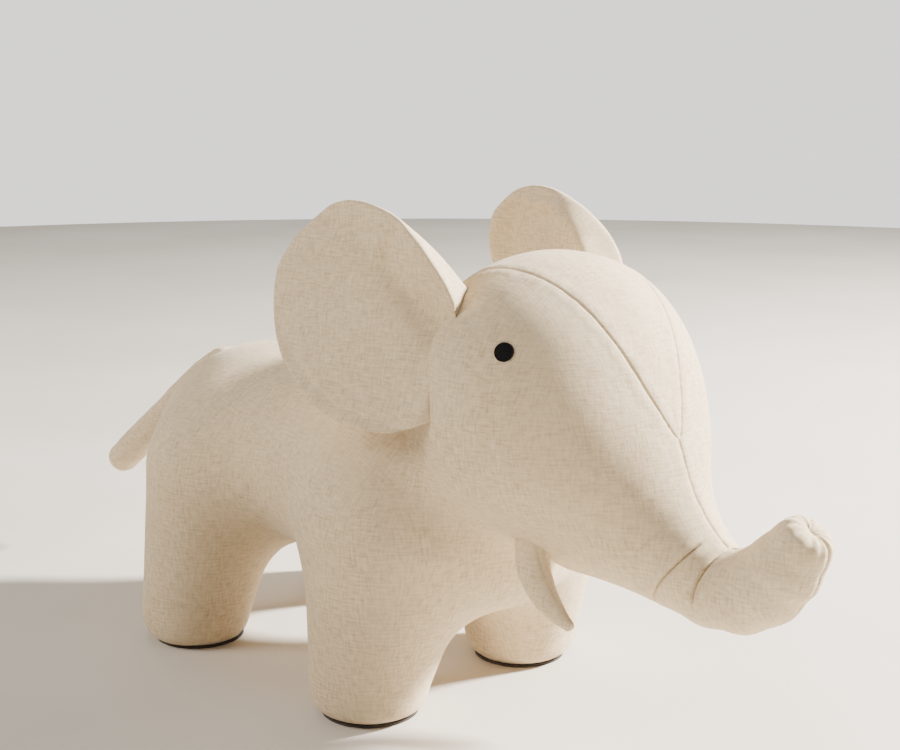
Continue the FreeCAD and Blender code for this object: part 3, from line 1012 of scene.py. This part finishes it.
def make_eye():
    """A round pad of satin stitches inside a ring of thread."""
    middle = onto(skin_field, EYE[None, :], 4)[0]
    normal = unit(gradient(skin_field, middle[None, :]))[0]
    across = unit(np.cross((0, 0, 1.0), normal))
    up = np.cross(normal, across)
    rho = np.linspace(0, 1, EYE_RINGS + 1)[1:]
    turn = np.linspace(0, 2 * math.pi, EYE_AROUND, endpoint=False)
    r, t = np.meshgrid(rho, turn, indexing="ij")
    x, y = np.append(0, r * np.cos(t)), np.append(0, r * np.sin(t))
    flat = onto(skin_field, middle + EYE_RADIUS * (x[:, None] * across + y[:, None] * up), 3)
    rad = np.hypot(x, y)
    rows = np.abs(np.sin(math.pi * EYE_ROWS * y / 2)) ** 0.6 * (rad < EYE_STITCHED_TO)
    dome = np.sqrt(np.clip(1 - (rad / EYE_EDGE) ** 2, 0, 1))
    twist = 0.85 + 0.15 * np.cos(EYE_RING_TWISTS * np.arctan2(y, x))
    ring = twist * np.exp(-(((rad - EYE_RING_AT) / EYE_RING_WIDTH) ** 2))
    drop = np.clip((rad - EYE_EDGE) / (1 - EYE_EDGE), 0, 1)
    high = EYE_HIGH * dome + EYE_ROW_HIGH * rows + EYE_RING_HIGH * ring - EYE_EDGE_DROP * drop
    front = flat + (high + EYE_LIFT)[:, None] * normal
    points = np.concatenate([front, flat[-EYE_AROUND:] - EYE_DEPTH * normal])
    loops = 1 + np.arange((EYE_RINGS + 1) * EYE_AROUND).reshape(-1, EYE_AROUND)
    ahead = np.roll(loops, -1, axis=1)
    faces = [(0, a, b) for a, b in zip(loops[0], ahead[0])]
    quads = np.stack([loops[:-1], loops[1:], ahead[1:], ahead[:-1]], -1)
    faces += quads.reshape(-1, 4).tolist()
    faces.append(loops[-1][::-1].tolist())
    return mesh_object("eye_right", points, faces)


# Assembly -------------------------------------------------------------------------------------------
STANDS_FOR = {
    "body_right": (
        "body_side_right", "leg_filling_front_right", "leg_filling_hind_right", "torso_filling",
    ),
    "body_left": ("body_side_left", "leg_filling_front_left", "leg_filling_hind_left"),
    "belly_gusset": ("belly_gusset",),
    "head_right": (
        "head_side_right", "trunk_right", "head_filling", "trunk_filling", "trunk_tip_patch",
    ),
    "head_left": ("head_side_left", "trunk_left"),
    "forehead_gusset": ("forehead_gusset",),
}
# Ends of the stretches of cloth at the trunk's and the tail's bends, from the body that carries each to
# the one that moves; the code below makes no blend from them.
TRUNK_BEND = np.array((0.3240, 0.0, 0.1390))
TRUNK_REACH = 0.030 * np.array((0.97, 0, -0.25))
TAIL_ROOT_BEND = ((-0.200, 0, 0.222), (-0.214, 0, 0.216))
TAIL_TUBE_BEND = ((-0.219, 0, 0.2135), (-0.245, 0, 0.195))


def place_cover():
    for name, panel in make_cover().items():
        panel.name = "cover_" + name
        dress(panel, "linen")
        if name in ("head_right", "head_left"):
            start, end = tuple(TRUNK_BEND - TRUNK_REACH), tuple(TRUNK_BEND + TRUNK_REACH)
            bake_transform(panel)
            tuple(start)
            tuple(end)
        else:
            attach(panel, "torso")
        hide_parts(*STANDS_FOR[name])


def place_ears():
    right = make_ear()
    left = mirror_copy(right, "ear_left")
    for side, ear in (("right", right), ("left", left)):
        dress(ear, "linen")
        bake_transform(ear)
        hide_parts(*[f"{part}_{side}" for part in ("ear_front", "ear_back", "ear_padding")])


def place_tusks():
    right = make_tusk()
    left = mirror_copy(right, "tusk_left")
    start, end = np.array(TUSK[0][0]), np.array(TUSK[2][0])
    for side, tusk in (("right", right), ("left", left)):
        dress(tusk, "linen")
        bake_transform(tusk)
        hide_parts(f"tusk_cover_{side}", f"tusk_filling_{side}")


def place_tail():
    root, tube = make_tail()
    for piece in (root, tube):
        dress(piece, "linen")
    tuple(TAIL_ROOT_BEND[0])
    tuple(TAIL_ROOT_BEND[1])
    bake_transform(root)
    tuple(TAIL_TUBE_BEND[0])
    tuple(TAIL_TUBE_BEND[1])
    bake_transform(tube)
    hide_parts("tail_tab")
    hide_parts("tail_cover", "tail_filling")


def place_eyes():
    right = make_eye()
    left = mirror_copy(right, "eye_pad_left")
    right.name = "eye_pad_right"
    for side, eye in (("right", right), ("left", left)):
        dress(eye, "eye_thread")
        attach(eye, "torso")
        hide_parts("eye_" + side)


def dress_carried_nodes():
    slots = {row["node"]: row["material_slot"] for row in frame["record"]["subparts"]}
    for name, node in frame["nodes"].items():
        node.data.materials.clear()
        node.data.materials.append(materials[slots[name]])


# Stage, light and camera ----------------------------------------------------------------------------
FLOOR_RADIUS = 3.5
FLOOR_SIDES = 96
FLOOR_DROP = 0.2 * MM


def make_stage():
    turns = np.linspace(0, 2 * math.pi, FLOOR_SIDES, endpoint=False)
    points = [(FLOOR_RADIUS * math.cos(t), FLOOR_RADIUS * math.sin(t), -FLOOR_DROP) for t in turns]
    floor = mesh_object("floor", points, [tuple(range(FLOOR_SIDES))])
    material, nodes = new_material("pale_floor")
    at = nodes.add("ShaderNodeTexCoord").outputs["Object"]
    cloud = nodes.noise(at, 3.0, 3.0)
    colour = nodes.ramp(cloud, ((0.3, (0.60, 0.545, 0.47)), (0.7, (0.66, 0.61, 0.54))))
    finish_material(nodes, {"Base Color": colour, "Roughness": 0.6})
    floor.data.materials.append(material)


def area_light(name, place, target, size, power, colour):
    light = bpy.data.lights.new(name, "AREA")
    light.shape = "DISK"
    light.size = size
    light.energy = power
    light.color = colour
    obj = bpy.data.objects.new(name, light)
    bpy.context.scene.collection.objects.link(obj)
    obj.location = place
    obj.rotation_euler = (Vector(target) - Vector(place)).to_track_quat("-Z", "Y").to_euler()


ROOM_GLOW = 0.33  # brightness of the room as light, and as seen behind the elephant
WALL_GLOW = 1.6


def make_lights():
    world = bpy.data.worlds.new("studio")
    world.use_nodes = True
    tree = world.node_tree
    tree.nodes.clear()
    nodes = Nodes(tree)
    seen = nodes.add("ShaderNodeLightPath").outputs["Is Camera Ray"]
    strength = nodes.math("ADD", nodes.math("MULTIPLY", seen, WALL_GLOW - ROOM_GLOW), ROOM_GLOW)
    glow = nodes.add("ShaderNodeBackground", {"Color": (0.96, 0.935, 0.91, 1), "Strength": strength})
    nodes.add("ShaderNodeOutputWorld", {"Surface": glow.outputs[0]})
    bpy.context.scene.world = world
    middle = (0.05, 0.0, 0.18)
    area_light("sun_window", (1.4, 2.1, 1.7), (0.2, 0.0, 0.25), 0.35, 620, (1.0, 0.98, 0.95))
    area_light("room_fill", (-1.1, -2.0, 1.6), middle, 1.3, 58, (1.0, 0.95, 0.88))
    area_light("sky", (-0.8, 0.4, 2.4), middle, 1.6, 10, (0.93, 0.96, 1.0))


CAMERA_PLACE = (0.8635, -0.7590, 0.4666)
CAMERA_TURN = math.radians(46.015)
CAMERA_DIP = math.radians(11.692)
CAMERA_LENS = 60.0


def make_camera():
    camera = bpy.data.cameras.new("camera")
    camera.lens = CAMERA_LENS
    camera.sensor_width = 36.0
    camera.clip_start = 0.01
    obj = bpy.data.objects.new("camera", camera)
    obj.location = CAMERA_PLACE
    obj.rotation_euler = (math.pi / 2 - CAMERA_DIP, 0, CAMERA_TURN)
    bpy.context.scene.collection.objects.link(obj)
    bpy.context.scene.camera = obj


make_camera()
make_lights()
make_stage()
dress_carried_nodes()
place_cover()
place_ears()
place_tusks()
place_tail()
place_eyes()
